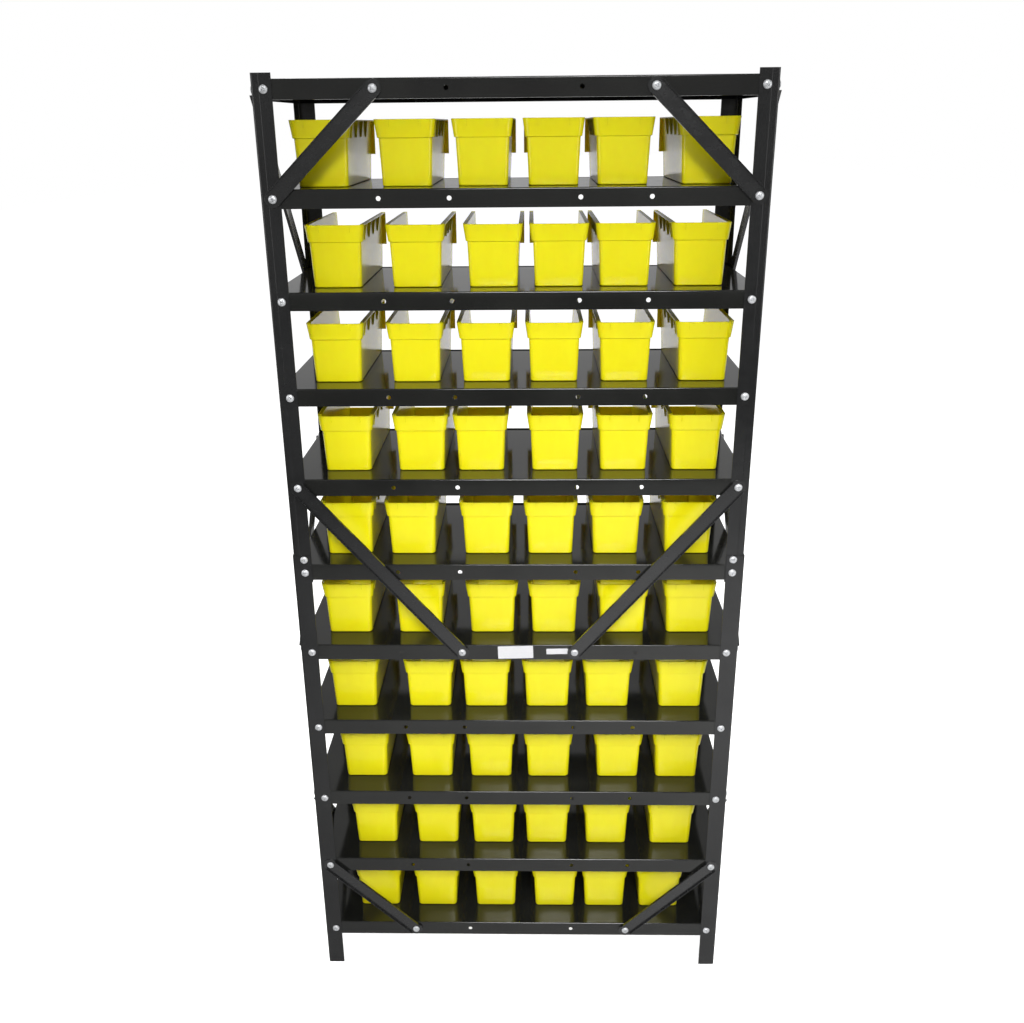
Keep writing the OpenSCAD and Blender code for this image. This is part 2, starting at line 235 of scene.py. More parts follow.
def enamel(name, colour, rough_low, rough_high, peel_depth, coat, painted_shade_from=None):
    finish, tree, surface = new_finish(name)
    place = object_place(tree)
    patches = noise(tree, place, 9.0, 4.0)
    specks = noise(tree, place, 900.0, 2.0)
    peel = noise(tree, place, 420.0, 1.0)
    waves = noise(tree, place, 18.0, 2.0)
    scuffs = noise(tree, object_place(tree, (40, 40, 70)), 1.0, 4.0, 0.6)

    darker = tuple(c * 0.8 for c in colour)
    lighter = tuple(c * 1.25 for c in colour)
    paint = blend_colours(tree, remap(tree, patches, 0.35, 0.65, 0, 1), darker, lighter)
    dust = remap(tree, specks, 0.70, 0.78, 0.0, 0.35)
    join(tree, blend_colours(tree, dust, paint, (0.12, 0.12, 0.12)), surface.inputs["Base Color"])
    join(tree, remap(tree, scuffs, 0.3, 0.7, rough_low, rough_high), surface.inputs["Roughness"])
    # Painted shade: on its front strip a deck reflects nothing, so it shows as a black band.
    if painted_shade_from is not None:
        strip = strip_at_front(tree, painted_shade_from)
        join(tree, remap(tree, strip, 0, 1, 0.5, 0.0), surface.inputs["Specular IOR Level"])
    surface.inputs["Coat Weight"].default_value = coat
    surface.inputs["Coat Roughness"].default_value = 0.06
    raised(tree, surface, [(waves, 0.10 * MM), (peel, peel_depth)])
    return finish


# The strip of painted shade along each deck's front edge: its width and where it starts.
STRIP_WIDE = 18 * MM
FRONT_STRIP = corners("shelf_1")[1].y - STRIP_WIDE
post_enamel = enamel("post_enamel", (0.011, 0.0112, 0.0115), 0.17, 0.27, 0.012 * MM, 0.0)
shelf_enamel = enamel("shelf_enamel", (0.0105, 0.0108, 0.0098), 0.07, 0.13, 0.004 * MM, 0.0,
                      FRONT_STRIP)
brace_enamel = enamel("brace_enamel", (0.009, 0.0092, 0.0095), 0.20, 0.32, 0.010 * MM, 0.5)
print("enamels:", [m.name for m in (post_enamel, shelf_enamel, brace_enamel)])

# %% [markdown]
# ## Zinc
# The bolts are zinc plated. The plating isn't a mirror: it breaks up into small dull and bright
# grains. A noise drives both the colour and the roughness.

# %% Zinc
def zinc_plate():
    finish, tree, surface = new_finish("zinc_plate")
    place = object_place(tree)
    grains = noise(tree, place, 600.0, 4.0, 0.6)
    clouds = noise(tree, place, 160.0, 2.0)
    bright = blend_colours(tree, remap(tree, grains, 0.3, 0.7, 0, 1),
                           (0.46, 0.47, 0.49), (0.80, 0.81, 0.82))
    join(tree, bright, surface.inputs["Base Color"])
    surface.inputs["Metallic"].default_value = 0.6
    join(tree, remap(tree, clouds, 0.3, 0.7, 0.35, 0.55), surface.inputs["Roughness"])
    raised(tree, surface, [(grains, 0.03 * MM)])
    return finish


zinc = zinc_plate()

# %% [markdown]
# ## Yellow moulded plastic
# The bins are glossy polypropylene. Such plastic is slightly uneven in colour, a little duller
# where bins have rubbed on each other, and its wide thin walls are never quite flat. The large,
# shallow waves matter most: they bend the reflections on the walls.
# Light also passes a little way through the walls. Red and green go about as far as a wall is
# thick and blue hardly at all, which turns the insides and the thin ribs golden.

# %% Bin plastic
def bin_plastic_finish():
    finish, tree, surface = new_finish("bin_plastic")
    place = object_place(tree)
    shade = noise(tree, place, 3.2, 2.0)
    flow = noise(tree, object_place(tree, (60, 60, 14)), 1.0, 4.0)
    grain = noise(tree, place, 1500.0, 1.0)
    sink = noise(tree, place, 16.0, 1.0)
    rubbed = noise(tree, place, 120.0, 5.0, 0.65)

    base = blend_colours(tree, remap(tree, shade, 0.3, 0.7, 0, 1),
                         (0.81, 0.725, 0.006), (0.85, 0.77, 0.008))
    streaked = blend_colours(tree, remap(tree, flow, 0.45, 0.75, 0.0, 0.35),
                             base, (0.88, 0.815, 0.012))
    join(tree, streaked, surface.inputs["Base Color"])
    join(tree, remap(tree, rubbed, 0.35, 0.75, 0.16, 0.28), surface.inputs["Roughness"])
    surface.inputs["Specular IOR Level"].default_value = 0.5
    surface.inputs["Subsurface Weight"].default_value = 0.5
    surface.inputs["Subsurface Radius"].default_value = (1.0, 0.85, 0.06)
    surface.inputs["Subsurface Scale"].default_value = LIGHT_PATH
    raised(tree, surface, [(sink, 0.15 * MM), (grain, 0.004 * MM)])
    return finish


LIGHT_PATH = 2.5 * MM
bin_plastic = bin_plastic_finish()

# %% Sticker paper
def sticker_paper():
    finish, tree, surface = new_finish("sticker_paper")
    place = object_place(tree)
    fibres = noise(tree, place, 900.0, 4.0)
    creases = noise(tree, place, 60.0, 3.0)
    paper = blend_colours(tree, remap(tree, fibres, 0.3, 0.7, 0, 1),
                          (0.58, 0.58, 0.60), (0.68, 0.68, 0.70))
    join(tree, paper, surface.inputs["Base Color"])
    surface.inputs["Roughness"].default_value = 0.45
    raised(tree, surface, [(creases, 0.15 * MM), (fibres, 0.01 * MM)])
    return finish


white_paper = sticker_paper()

# %% [markdown]
# ## Mesh helpers
# A finished piece's object sits at the origin and its place is in its mesh, as the frame's own
# nodes do. `add_piece` keeps that rule in one place.

# %% Mesh helpers
def add_object(name, data):
    made = bpy.data.objects.new(name, data)
    bpy.context.scene.collection.objects.link(made)
    return made


def add_piece(name, mesh, body, stands_for=()):
    """A finished piece that rides on a body and stands for some frame nodes."""
    piece = add_object(name, mesh)
    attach(piece, body)
    if stands_for:
        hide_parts(*stands_for)
    return piece


def mesh_from(bm, name, finish=None):
    mesh = bpy.data.meshes.new(name)
    bm.to_mesh(mesh)
    bm.free()
    if finish is not None:
        mesh.materials.append(finish)
    return mesh


def baked(thing, name):
    """The evaluated mesh of an object, as a plain mesh; the object goes away."""
    bpy.context.view_layer.update()
    graph = bpy.context.evaluated_depsgraph_get()
    mesh = bpy.data.meshes.new_from_object(thing.evaluated_get(graph))
    mesh.name = name
    bpy.data.objects.remove(thing)
    return mesh


def smooth_below(mesh, degrees):
    """Smooth shading, except across edges sharper than the angle."""
    mesh.polygons.foreach_set("use_smooth", [True] * len(mesh.polygons))
    mesh.set_sharp_from_angle(angle=math.radians(degrees))


def triangles(mesh):
    return sum(len(p.vertices) - 2 for p in mesh.polygons)


# %% [markdown]
# ## Islands
# Some frame nodes hold many separate solids: all the bolts in one, or the six bins of a row.
# The helper welds the triangles of such a node and walks along its edges, so that each solid's
# box comes out by itself. Pieces can then be placed from what the frame says, and not from a
# second list of numbers.

# %% Islands of a node
def islands(node_name):
    """Boxes (low, high) of the separate solids in a node, in a fixed order."""
    bm = bmesh.new()
    bm.from_mesh(frame["nodes"][node_name].data)
    bmesh.ops.remove_doubles(bm, verts=bm.verts, dist=0.001 * MM)
    bm.verts.index_update()
    seen = set()
    found = []
    for start in bm.verts:
        if start.index in seen:
            continue
        seen.add(start.index)
        stack, points = [start], []
        while stack:
            vert = stack.pop()
            points.append(vert.co.copy())
            for edge in vert.link_edges:
                other = edge.other_vert(vert)
                if other.index not in seen:
                    seen.add(other.index)
                    stack.append(other)
        low = Vector(min(p[i] for p in points) for i in range(3))
        high = Vector(max(p[i] for p in points) for i in range(3))
        found.append((low, high))
    bm.free()
    return sorted(found, key=lambda b: tuple(round(v, 4) for v in b[0]))


# %% [markdown]
# ## Posts, shelves and braces with softened edges
# Sheared and folded sheet never has a razor edge. Each frame mesh is copied, welded, cleared of
# the lines inside its flat faces and given a Bevel. A cut edge is rounded a little and an outer
# fold much more, because sheet bends in a curve. An edge is a fold when both of its faces are
# broader than the sheet is thick, and its bevel weight says so to the modifier. The round folds
# catch a thin line of light, which is most of what makes thin steel look like steel. A Weighted
# Normal modifier keeps the wide faces flat.

# %% Edges and folds
SHARP = math.radians(50)
BROAD = 2.5 * MM


def breadth(face):
    return face.calc_area() / max(edge.calc_length() for edge in face.edges)


def weigh_edges(bm, edge_round, fold_round):
    """Weight 1 on outer folds, the right share of it on cut edges, 0 where it is smooth."""
    weight = bm.edges.layers.float.new("bevel_weight_edge")
    broad = {face: breadth(face) > BROAD for face in bm.faces}
    for edge in bm.edges:
        if len(edge.link_faces) != 2 or edge.calc_face_angle(0) < SHARP:
            continue
        folded = edge.is_convex and all(broad[face] for face in edge.link_faces)
        edge[weight] = 1.0 if folded else edge_round / fold_round


# %% Softened sheet pieces
def softened(node_name, finish, edge_round, fold_round):
    mesh = bpy.data.meshes.new(node_name + "_sheet")
    bm = bmesh.new()
    bm.from_mesh(frame["nodes"][node_name].data)
    bmesh.ops.remove_doubles(bm, verts=bm.verts, dist=0.002 * MM)
    bmesh.ops.dissolve_limit(bm, angle_limit=math.radians(0.4), verts=bm.verts,
                             edges=bm.edges, use_dissolve_boundaries=False)
    weigh_edges(bm, edge_round, fold_round)
    bm.to_mesh(mesh)
    bm.free()
    mesh.materials.clear()
    mesh.materials.append(finish)
    source = add_object(node_name + "_source", mesh)
    bevel = source.modifiers.new("edge", "BEVEL")
    bevel.width = fold_round
    bevel.segments = 3
    bevel.limit_method = "WEIGHT"
    bevel.use_clamp_overlap = True
    rounded = baked(source, node_name + "_rounded")
    smooth_below(rounded, 48)
    carrier = add_object(node_name + "_carrier", rounded)
    flat = carrier.modifiers.new("flat_faces", "WEIGHTED_NORMAL")
    flat.keep_sharp = True
    final = baked(carrier, node_name + "_sheet")
    return add_piece(node_name + "_sheet", final, RACK, [node_name])


SHEET_KINDS = (
    ("post", post_enamel, 0.35 * MM, 1.8 * MM),
    ("shelf", shelf_enamel, 0.3 * MM, 1.2 * MM),
    ("brace", brace_enamel, 0.45 * MM, 1.8 * MM),
)
steel_pieces = []
for kind, finish, edge_round, fold_round in SHEET_KINDS:
    for name in sorted(n for n in frame["nodes"] if kind in n):
        steel_pieces.append(softened(name, finish, edge_round, fold_round))
print("steel pieces:", len(steel_pieces),
      "triangles:", sum(triangles(p.data) for p in steel_pieces))

# %% [markdown]
# ## The form of a bin
# A bin is one moulded skin of even thickness, so it is drawn as a skin first: rings of points at
# rising heights, each ring running round the bin from the middle of the low front. Solidify then
# gives the wall, and a Bevel rounds the edges. Every ring has the same points in the same order,
# which makes the skin a simple grid of faces.
# All lengths come from the frame's own bin, and the small ones are named here.

# %% Sizes of a bin
bin_low, bin_high = corners("bin_1_1")
NIB_OUT = 1.2 * MM
BIN_W = bin_high.x - bin_low.x
BIN_L = bin_high.y - bin_low.y - NIB_OUT
BIN_H = bin_high.z - bin_low.z
WALL = 2.0 * MM
HOPPER_H = 46 * MM
COLLAR_H = 30 * MM
COLLAR_WRAP = 16 * MM
STEP_OUT = 2.6 * MM
FLARE_X = 4.4 * MM
FLARE_Y = 3.0 * MM
BASE_IN_X = 10.2 * MM
BASE_IN_Y = 8.0 * MM
FRONT_LEAN = 6.0 * MM
BASE_ROUND = 2.6 * MM
CORNER_BACK = 8.0 * MM
CORNER_FRONT = 5.0 * MM
LEDGE_DROP = WALL
LIP_OUT = 2.7 * MM
collar_low = BIN_H - COLLAR_H
print("bin, mm:", [round(v / MM, 1) for v in (BIN_W, BIN_L, BIN_H)])


# %% Lean of the walls
def body_half(z):
    """Half the plain body's width at a height."""
    top_in = FLARE_X + STEP_OUT
    return BIN_W / 2 - BASE_IN_X + (BASE_IN_X - top_in) * z / collar_low


def body_back(z):
    top_in = FLARE_Y + STEP_OUT
    return BASE_IN_Y - (BASE_IN_Y - top_in) * z / collar_low


def body_front(z):
    return BIN_L - FRONT_LEAN + FRONT_LEAN * z / BIN_H


def collar_out(z):
    """How far the collar stands out of the plain body, across and at the back."""
    rise = (BIN_H - z) / COLLAR_H
    across = BIN_W / 2 - FLARE_X * rise - body_half(z)
    back = body_back(z) - FLARE_Y * rise
    return across, back


print("collar stands out, mm:", [round(v / MM, 2) for v in collar_out(collar_low)],
      "to", [round(v / MM, 2) for v in collar_out(BIN_H)])

# %% [markdown]
# Each ring point keeps three things: where it is on the plain body, which way is outward, and
# whether the collar pushes it. One half of the ring is written out and the other half mirrored.

# %% One ring of the skin
CORNER_STEPS = 5


def half_ring(z, inset):
    """Points of the +X half: (x, y, outward x, outward y, part name)."""
    half = body_half(z) - inset
    back = body_back(z) + inset
    front = body_front(z) - inset
    r_front = CORNER_FRONT - inset
    r_back = CORNER_BACK - inset
    points = [(0, front, 0, 1, "front"), (half * 0.5, front, 0, 1, "front")]
    for i in range(CORNER_STEPS + 1):
        a = math.pi / 2 * (1 - i / CORNER_STEPS)
        c, s = math.cos(a), math.sin(a)
        points.append((half - r_front + r_front * c, front - r_front + r_front * s, c, s,
                       "front" if i < CORNER_STEPS else "side"))
    wrap = COLLAR_WRAP
    for y in (front * 0.75, front * 0.5, front * 0.25, wrap + 6 * MM, wrap + 1.2 * MM):
        points.append((half, y, 1, 0, "side"))
    points.append((half, wrap - 0.2 * MM, 1, 0, "collar"))
    for i in range(CORNER_STEPS + 1):
        a = -math.pi / 2 * i / CORNER_STEPS
        c, s = math.cos(a), math.sin(a)
        points.append((half - r_back + r_back * c, back + r_back + r_back * s, c, s, "collar"))
    points.append((half * 0.5, back, 0, -1, "collar"))
    points.append((0, back, 0, -1, "collar"))
    return points


def full_ring(z, inset=0.0, collar=False):
    right_half = half_ring(z, inset)
    left_half = [(-x, y, -nx, ny, part) for x, y, nx, ny, part in right_half[-2:0:-1]]
    across, back = collar_out(z) if collar else (0.0, 0.0)
    ring = []
    for x, y, nx, ny, part in right_half + left_half:
        push = 1.0 if part == "collar" else 0.0
        ring.append((x + nx * across * push, y + ny * back * push, part))
    return ring


print("points in a ring:", len(full_ring(0)))


# %% Skin of a bin
BASE_STEPS = 3
HOPPER_RING = BASE_STEPS + 2


def bin_skin():
    bm = bmesh.new()
    levels = []
    for i in range(BASE_STEPS + 1):
        a = math.pi / 2 * i / BASE_STEPS
        levels.append((BASE_ROUND * (1 - math.cos(a)), BASE_ROUND * (1 - math.sin(a)), False))
    levels.append((HOPPER_H * 0.5, 0.0, False))
    levels.append((HOPPER_H, 0.0, False))
    levels.append((collar_low, 0.0, False))
    levels.append((collar_low + 1.0 * MM, 0.0, True))
    levels.append((BIN_H - LEDGE_DROP, 0.0, True))
    levels.append((BIN_H, 0.0, True))

    rings = []
    for z, inset, collar in levels:
        ring = full_ring(z, inset, collar)
        rings.append([bm.verts.new((x, y, z)) for x, y, part in ring])
    parts = [part for x, y, part in full_ring(0)]
    count = len(parts)
    bm.faces.new(rings[0][::-1])

    top = len(levels) - 1
    for level in range(top):
        for i in range(count):
            j = (i + 1) % count
            touching = {parts[i], parts[j]}
            if levels[level][0] >= HOPPER_H and "front" in touching:
                continue
            if level == top - 1 and "side" in touching:
                continue
            bm.faces.new((rings[level][i], rings[level][j], rings[level + 1][j],
                          rings[level + 1][i]))
    return bm, rings, parts


# %% [markdown]
# The side walls end in two turned-out edges: a ledge along the rim and a flange down the open
# front. The low front has a small lip. All three are strips that start on an edge of the skin
# and go outward, so they join it without a seam.

# %% Ledge, flange and lip
def add_turned_edges(bm, rings, parts):
    count = len(parts)
    ledge_ring = rings[-2]
    hopper_ring = rings[HOPPER_RING]
    outer = BIN_W / 2
    out_verts = {}
    for i in range(count):
        if parts[i] == "side":
            place = ledge_ring[i].co
            side = 1 if place.x > 0 else -1
            out_verts[i] = bm.verts.new((side * outer, place.y, place.z))
    for i in range(count):
        j = (i + 1) % count
        if i in out_verts and j in out_verts:
            bm.faces.new((ledge_ring[i], ledge_ring[j], out_verts[j], out_verts[i]))

    ends = [i for i in out_verts if "front" in (parts[i - 1], parts[(i + 1) % count])]
    for i in ends:
        side = 1 if ledge_ring[i].co.x > 0 else -1
        column = [ring[i] for ring in rings[HOPPER_RING:-1]]
        outs = [bm.verts.new((side * outer, v.co.y, v.co.z)) for v in column[:-1]]
        outs.append(out_verts[i])
        for k in range(len(column) - 1):
            bm.faces.new((column[k], column[k + 1], outs[k + 1], outs[k]))

    front = [i for i in range(count) if parts[i] == "front"]
    lip = {}
    for i in front:
        place = hopper_ring[i].co
        lip[i] = bm.verts.new((place.x, place.y + LIP_OUT, place.z))
    for i in front:
        j = (i + 1) % count
        if j in lip:
            bm.faces.new((hopper_ring[i], hopper_ring[j], lip[j], lip[i]))


def bin_shell_mesh():
    bm, rings, parts = bin_skin()
    add_turned_edges(bm, rings, parts)
    bmesh.ops.remove_doubles(bm, verts=bm.verts, dist=0.01 * MM)
    bmesh.ops.recalc_face_normals(bm, faces=bm.faces)
    base = min(bm.faces, key=lambda f: f.calc_center_median().z)
    if base.normal.z > 0:
        bmesh.ops.reverse_faces(bm, faces=bm.faces)
    source = add_object("bin_skin", mesh_from(bm, "bin_skin", bin_plastic))
    wall = source.modifiers.new("wall", "SOLIDIFY")
    wall.thickness = WALL
    wall.offset = -1.0
    wall.use_even_offset = True
    edge = source.modifiers.new("edge", "BEVEL")
    edge.width = 0.5 * MM
    edge.segments = 2
    edge.limit_method = "ANGLE"
    edge.angle_limit = math.radians(40)
    return baked(source, "bin_shell")


shell = bin_shell_mesh()
print("shell:", len(shell.polygons), "faces", triangles(shell), "triangles")

# %% [markdown]
# ## Side ribs by Geometry Nodes
# Four ribs hold the rim ledge on each side. They repeat at an even spacing, so a small Geometry
# Nodes tree places them: a Mesh Line gives the points of one side, a copy of the rib goes on
# each point, and the same again turned half round gives the other side. The spacing, the first
# place and the count are named inputs.

# %% Geometry Nodes helpers
def new_tree(name, inputs):
    """A geometry tree with named inputs; returns the tree, its input node and its output."""
    tree = bpy.data.node_groups.new(name, "GeometryNodeTree")
    tree.interface.new_socket("Geometry", in_out="INPUT", socket_type="NodeSocketGeometry")
    for label, kind, value in inputs:
        socket = tree.interface.new_socket(label, in_out="INPUT", socket_type=kind)
        if value is not None:
            socket.default_value = value
    tree.interface.new_socket("Geometry", in_out="OUTPUT", socket_type="NodeSocketGeometry")
    return tree, tree.nodes.new("NodeGroupInput"), tree.nodes.new("NodeGroupOutput")


def input_ids(tree):
    return {item.name: item.identifier for item in tree.interface.items_tree
            if item.in_out == "INPUT"}


def run_tree(tree, start_mesh, name, values):
    """Runs a tree once on a mesh and returns the plain mesh that it makes."""
    carrier = add_object(name + "_carrier", start_mesh)
    modifier = carrier.modifiers.new(tree.name, "NODES")
    modifier.node_group = tree
    ids = input_ids(tree)
    for label, value in values.items():
        modifier[ids[label]] = value
    return baked(carrier, name)


def finish_tree(tree, group_in, group_out, geometry):
    """Realize Instances and Set Material, then the output."""
    real = tree.nodes.new("GeometryNodeRealizeInstances")
    paint = tree.nodes.new("GeometryNodeSetMaterial")
    join(tree, geometry, real.inputs["Geometry"])
    join(tree, real.outputs["Geometry"], paint.inputs["Geometry"])
    join(tree, group_in.outputs["Finish"], paint.inputs["Material"])
    join(tree, paint.outputs["Geometry"], group_out.inputs[0])


# %% The rib
RIB_THICK = 2.0 * MM
RIB_IN = 0.8 * MM
RIB_COUNT = 4
RIB_FIRST = 46 * MM
RIB_PITCH = 55 * MM


def rib_mesh():
    """One rib on the +X side, centred on y = 0, rooted in the wall."""
    bm = bmesh.new()
    low, high = collar_low, BIN_H - WALL * 0.6
    root = 1.0 * MM
    outline = [
        (body_half(low) - root, low + 1.5 * MM),
        (BIN_W / 2 - FLARE_X - RIB_IN, low),
        (BIN_W / 2 - RIB_IN, high),
        (body_half(high) - root, high),
    ]
    front = [bm.verts.new((x, -RIB_THICK / 2, z)) for x, z in outline]
    back = [bm.verts.new((x, RIB_THICK / 2, z)) for x, z in outline]
    bm.faces.new(front)
    bm.faces.new(back[::-1])
    for i in range(4):
        j = (i + 1) % 4
        bm.faces.new((front[i], back[i], back[j], front[j]))
    bmesh.ops.recalc_face_normals(bm, faces=bm.faces)
    source = add_object("rib", mesh_from(bm, "rib", bin_plastic))
    edge = source.modifiers.new("edge", "BEVEL")
    edge.width = 0.45 * MM
    edge.segments = 2
    return baked(source, "rib")


# %% Rib tree
def rib_tree():
    tree, group_in, group_out = new_tree("side_ribs", [
        ("Rib", "NodeSocketObject", None),
        ("Count", "NodeSocketInt", RIB_COUNT),
        ("First", "NodeSocketFloat", RIB_FIRST),
        ("Pitch", "NodeSocketFloat", RIB_PITCH),
        ("Finish", "NodeSocketMaterial", None),
    ])
    rib = tree.nodes.new("GeometryNodeObjectInfo")
    join(tree, group_in.outputs["Rib"], rib.inputs["Object"])
    start = tree.nodes.new("ShaderNodeCombineXYZ")
    step = tree.nodes.new("ShaderNodeCombineXYZ")
    join(tree, group_in.outputs["First"], start.inputs["Y"])
    join(tree, group_in.outputs["Pitch"], step.inputs["Y"])
    line = tree.nodes.new("GeometryNodeMeshLine")
    join(tree, group_in.outputs["Count"], line.inputs["Count"])
    join(tree, start.outputs[0], line.inputs["Start Location"])
    join(tree, step.outputs[0], line.inputs["Offset"])
    gather = tree.nodes.new("GeometryNodeJoinGeometry")
    for angle in (0.0, math.pi):
        place = tree.nodes.new("GeometryNodeInstanceOnPoints")
        place.inputs["Rotation"].default_value = (0, 0, angle)
        join(tree, line.outputs["Mesh"], place.inputs["Points"])
        join(tree, rib.outputs["Geometry"], place.inputs["Instance"])
        join(tree, place.outputs["Instances"], gather.inputs["Geometry"])
    join(tree, group_in.outputs["Geometry"], gather.inputs["Geometry"])
    finish_tree(tree, group_in, group_out, gather.outputs["Geometry"])
    return tree


rib_form = add_object("rib_form", rib_mesh())
ribbed = run_tree(rib_tree(), shell, "bin_ribbed", {
    "Rib": rib_form, "Count": RIB_COUNT, "First": RIB_FIRST, "Pitch": RIB_PITCH,
    "Finish": bin_plastic,
})
bpy.data.objects.remove(rib_form)
print("ribbed bin:", triangles(ribbed), "triangles")

# %% [markdown]
# Two short nibs stand on the collar at the closed end. They are small blocks with rounded edges,
# let into the collar's face.

# %% Nibs
NIB_AT = 27 * MM
NIB_W = 3.0 * MM
NIB_H = 12 * MM


def add_nibs(mesh):
    bm = bmesh.new()
    for side in (-1, 1):
        cube = bmesh.ops.create_cube(bm, size=1.0)
        deep = NIB_OUT + 1.6 * MM
        middle = Vector((side * NIB_AT, -NIB_OUT + deep / 2, BIN_H - NIB_H / 2))
        for vert in cube["verts"]:
            vert.co = Vector((vert.co.x * NIB_W, vert.co.y * deep, vert.co.z * NIB_H)) + middle
    bmesh.ops.bevel(bm, geom=bm.edges[:], offset=0.4 * MM, segments=2, affect="EDGES")
    bm.from_mesh(mesh)
    whole = mesh_from(bm, "bin_form", bin_plastic)
    smooth_below(whole, 42)
    return whole


bin_form_mesh = add_nibs(ribbed)
print("bin form:", triangles(bin_form_mesh), "triangles")

# %% [markdown]
# ## Sixty bins
# The bins of the top rows move one by one, and the lower rows move as rows. Both kinds are made
# by the same Geometry Nodes tree: it takes points and sets a copy of the bin on each one. The
# points come from the frame: the lowest corner of each bin, moved to the bin's own origin.

# %% Bin tree and pieces
def copies_tree():
    tree, group_in, group_out = new_tree("copies", [
        ("Form", "NodeSocketObject", None),
        ("Finish", "NodeSocketMaterial", None),
    ])
    form = tree.nodes.new("GeometryNodeObjectInfo")
    join(tree, group_in.outputs["Form"], form.inputs["Object"])
    place = tree.nodes.new("GeometryNodeInstanceOnPoints")
    join(tree, group_in.outputs["Geometry"], place.inputs["Points"])
    join(tree, form.outputs["Geometry"], place.inputs["Instance"])
    finish_tree(tree, group_in, group_out, place.outputs["Instances"])
    return tree


def point_cloud(name, places):
    mesh = bpy.data.meshes.new(name)
    mesh.from_pydata([tuple(p) for p in places], [], [])
    return mesh


def bin_origin(low, high):
    return Vector(((low.x + high.x) / 2, low.y + NIB_OUT, low.z))


body_of = {}
for body, members in frame["record"]["behaviour"]["bodies"].items():
    for member in members:
        body_of[member] = body

bin_copies = copies_tree()
bin_form = add_object("bin_form", bin_form_mesh)
bin_pieces = []
for name in sorted(n for n in frame["nodes"] if n.startswith("bin_")):
    places = [bin_origin(low, high) for low, high in islands(name)]
    mesh = run_tree(bin_copies, point_cloud(name + "_points", places), name + "_moulded",
                    {"Form": bin_form, "Finish": bin_plastic})
    smooth_below(mesh, 42)
    bin_pieces.append(add_piece(name + "_moulded", mesh, body_of[name], [name]))
bpy.data.objects.remove(bin_form)
print("bin pieces:", len(bin_pieces), "triangles:", sum(triangles(p.data) for p in bin_pieces))

# %% [markdown]
# ## Bolts and nuts
# The bolt heads are domes with a cross recess, and the nuts are hexagons with turned corners.
# One form of each is modelled, and a Geometry Nodes tree sets it on every bolt of the frame. A
# point carries the direction that its bolt faces, and the tree turns the form to it. A seeded
# random turn about the bolt's own axis keeps the crosses from lining up.

# %% Where the bolts are
HEAD_D = 14.5 * MM
HEAD_H = 4.0 * MM
HEAD_RIM = 0.8 * MM
HEAD_CHAMFER = 0.3 * MM
NUT_H = 5.0 * MM
NUT_AF = 10.0 * MM
NUT_CHAMFER = 0.8 * MM
TAIL = 1.5 * MM
SHANK_D = 6.0 * MM


def bolt_places():
    """(seat of the head, outward direction, length below the seat) of each bolt."""
    post_low, post_high = corners("post_front_right_upper")
    places = []
    for low, high in islands("frame_bolts"):
        size = high - low
        middle = (low + high) / 2
        from_side = abs(post_high.x - abs(middle.x))
        from_end = abs(post_high.y - abs(middle.y))
        axis = 0 if from_side < from_end else 1
        outward = Vector((0, 0, 0))
        outward[axis] = 1 if middle[axis] > 0 else -1
        tip = high[axis] if middle[axis] > 0 else low[axis]
        seat = middle.copy()
        seat[axis] = tip - outward[axis] * HEAD_H
        places.append((seat, outward, size[axis] - HEAD_H))
    return places


bolts = bolt_places()
print("bolts:", len(bolts))


# %% The bolt head
def spun(profile, steps, name):
    """Turns a profile of (radius, height) round Z."""
    bm = bmesh.new()
    rings = []
    for radius, height in profile:
        if radius < 1e-7:
            rings.append([bm.verts.new((0, 0, height))])
            continue
        rings.append([bm.verts.new((radius * math.cos(FULL_TURN * i / steps),
                                    radius * math.sin(FULL_TURN * i / steps), height))
                      for i in range(steps)])
    for lower, upper in zip(rings, rings[1:]):
        for i in range(steps):
            j = (i + 1) % steps
            if len(lower) == 1:
                bm.faces.new((lower[0], upper[j], upper[i]))
            elif len(upper) == 1:
                bm.faces.new((lower[i], lower[j], upper[0]))
            else:
                bm.faces.new((lower[i], lower[j], upper[j], upper[i]))
    bmesh.ops.recalc_face_normals(bm, faces=bm.faces)
    return mesh_from(bm, name, zinc)


def cross_cutter():
    """A tapered plus sign that cuts the recess."""
    bm = bmesh.new()
    rings = []
    for height, arm in ((HEAD_H * 0.3, 1.9 * MM), (HEAD_H * 1.2, 3.8 * MM)):
        half = 0.85 * MM
        quarter = [(half, half), (arm, half), (arm, -half)]
        ring = []
        for turn in range(4):
            c, s = (1, 0, -1, 0)[turn], (0, 1, 0, -1)[turn]
            for x, y in quarter[::-1]:
                ring.append(bm.verts.new((x * c - y * s, x * s + y * c, height)))
        rings.append(ring)
    for i in range(12):
        j = (i + 1) % 12
        bm.faces.new((rings[0][i], rings[0][j], rings[1][j], rings[1][i]))
    bm.faces.new(rings[0][::-1])
    bm.faces.new(rings[1])
    bmesh.ops.recalc_face_normals(bm, faces=bm.faces)
    return mesh_from(bm, "cross", zinc)


def bolt_head_mesh():
    profile = [(0, 0), (HEAD_D / 2 - HEAD_CHAMFER, 0), (HEAD_D / 2, HEAD_CHAMFER),
               (HEAD_D / 2, HEAD_RIM)]
    dome = HEAD_H - HEAD_RIM
    for i in range(1, 6):
        a = math.pi / 2 * i / 6
        profile.append((HEAD_D / 2 * math.cos(a) ** 0.8, HEAD_RIM + dome * math.sin(a)))
    profile.append((0, HEAD_H))
    head = add_object("head", spun(profile, 24, "head"))
    cutter = add_object("cutter", cross_cutter())
    cut = head.modifiers.new("recess", "BOOLEAN")
    cut.object = cutter
    cut.operation = "DIFFERENCE"
    cut.solver = "EXACT"
    mesh = baked(head, "bolt_head")
    bpy.data.objects.remove(cutter)
    smooth_below(mesh, 40)
    return mesh


